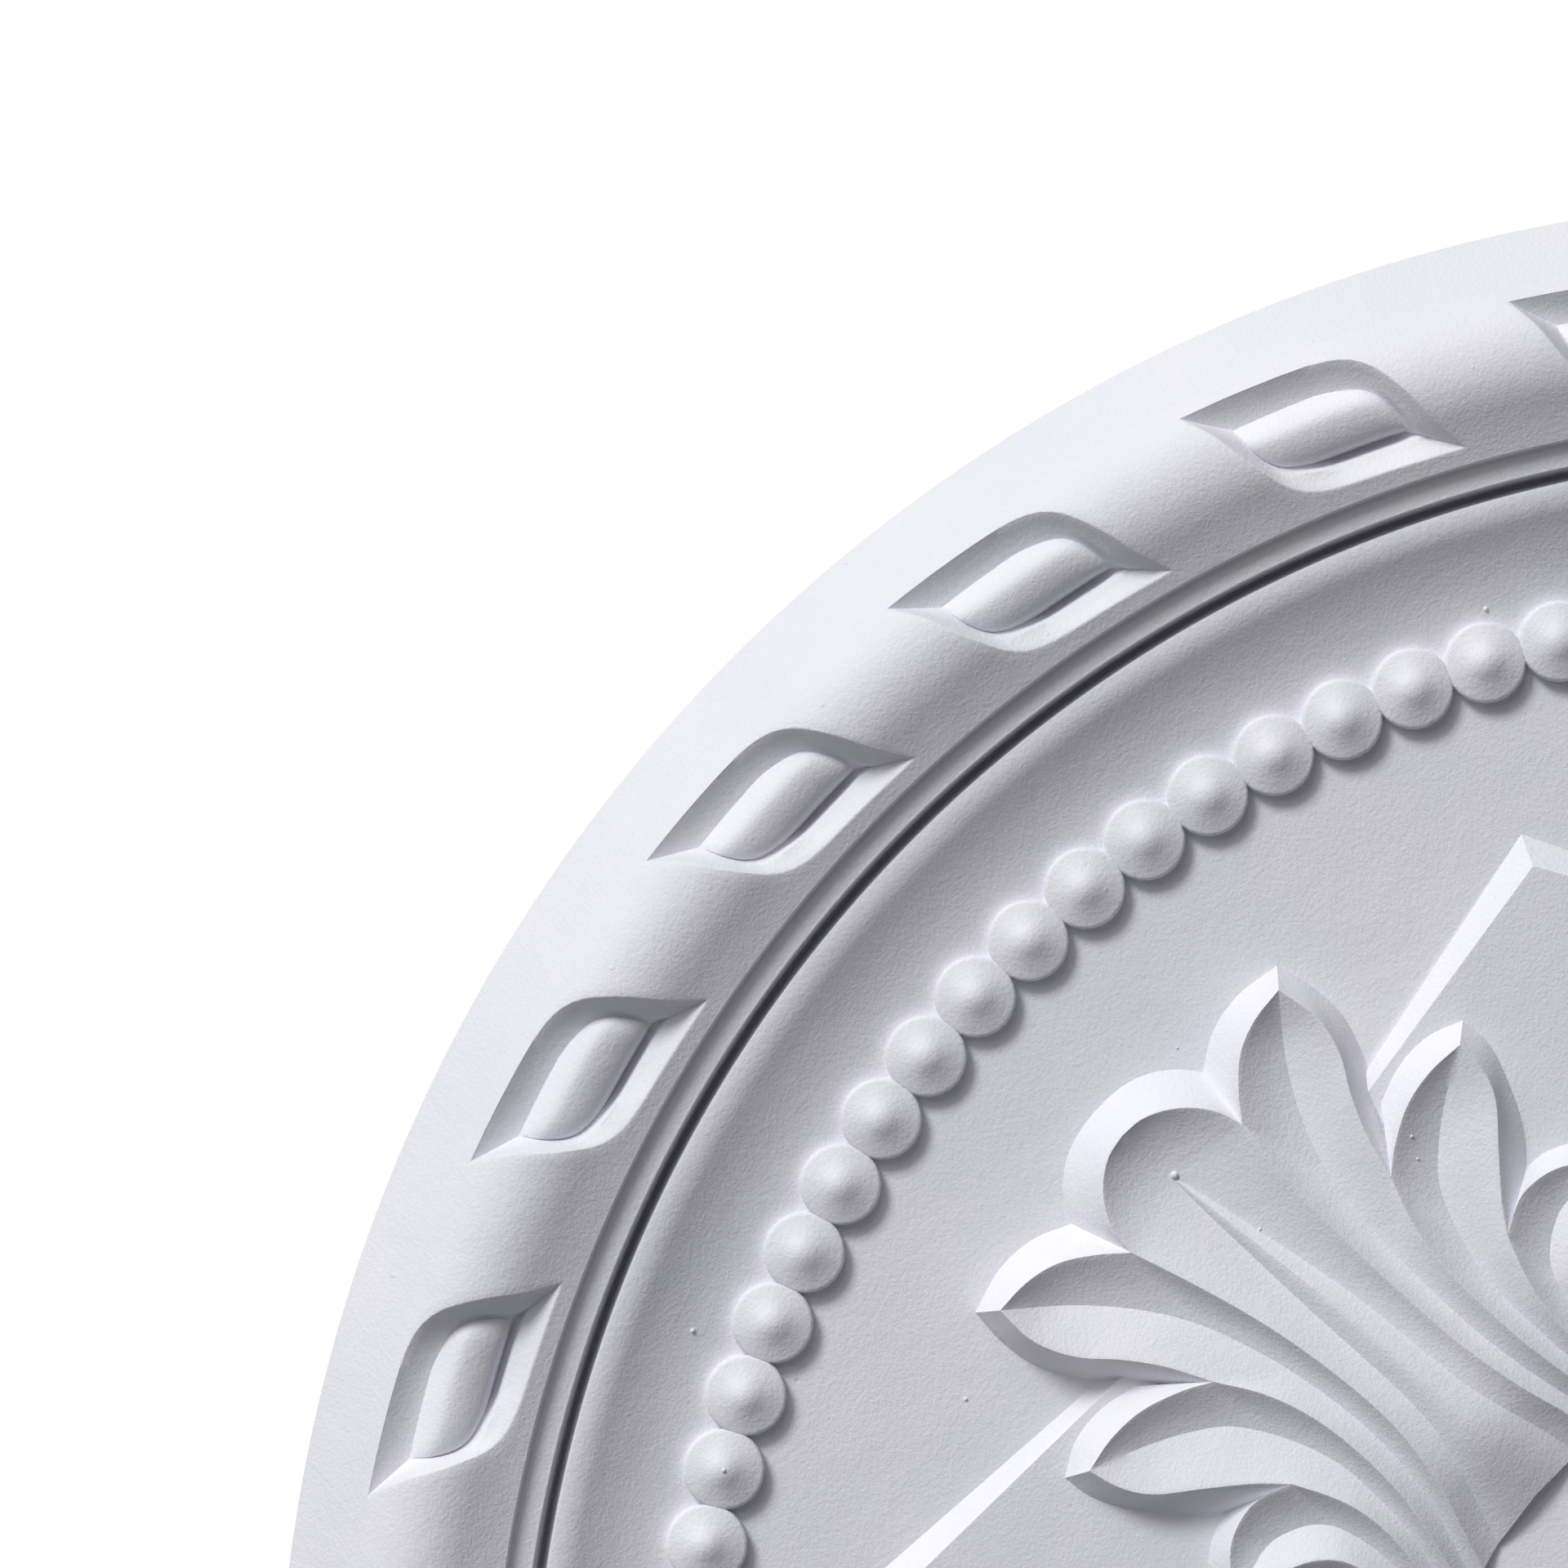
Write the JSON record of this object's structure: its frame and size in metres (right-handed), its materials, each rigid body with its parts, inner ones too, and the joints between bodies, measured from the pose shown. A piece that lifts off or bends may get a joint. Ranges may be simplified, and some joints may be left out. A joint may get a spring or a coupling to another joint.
{
  "type": "ceiling medallion",
  "caption": "Round plaster ceiling medallion with a rolled border of slanting panels, a ring of beads and scrolling leaves about a plain centre boss.",
  "frame": {"origin": "centre of the flat back, which lies against the ceiling or wall", "axes": "+Y points into the ceiling or wall, -Y out of the ornamented face, and +Z along one leaf; on a ceiling +Y is turned up"},
  "size_m": [0.6, 0.0258, 0.6],
  "materials": {
    "plaster": "matte cast plaster, cool white"
  },
  "bodies": {
    "root": {"medallion": "plaster"}
  },
  "joints": []
}
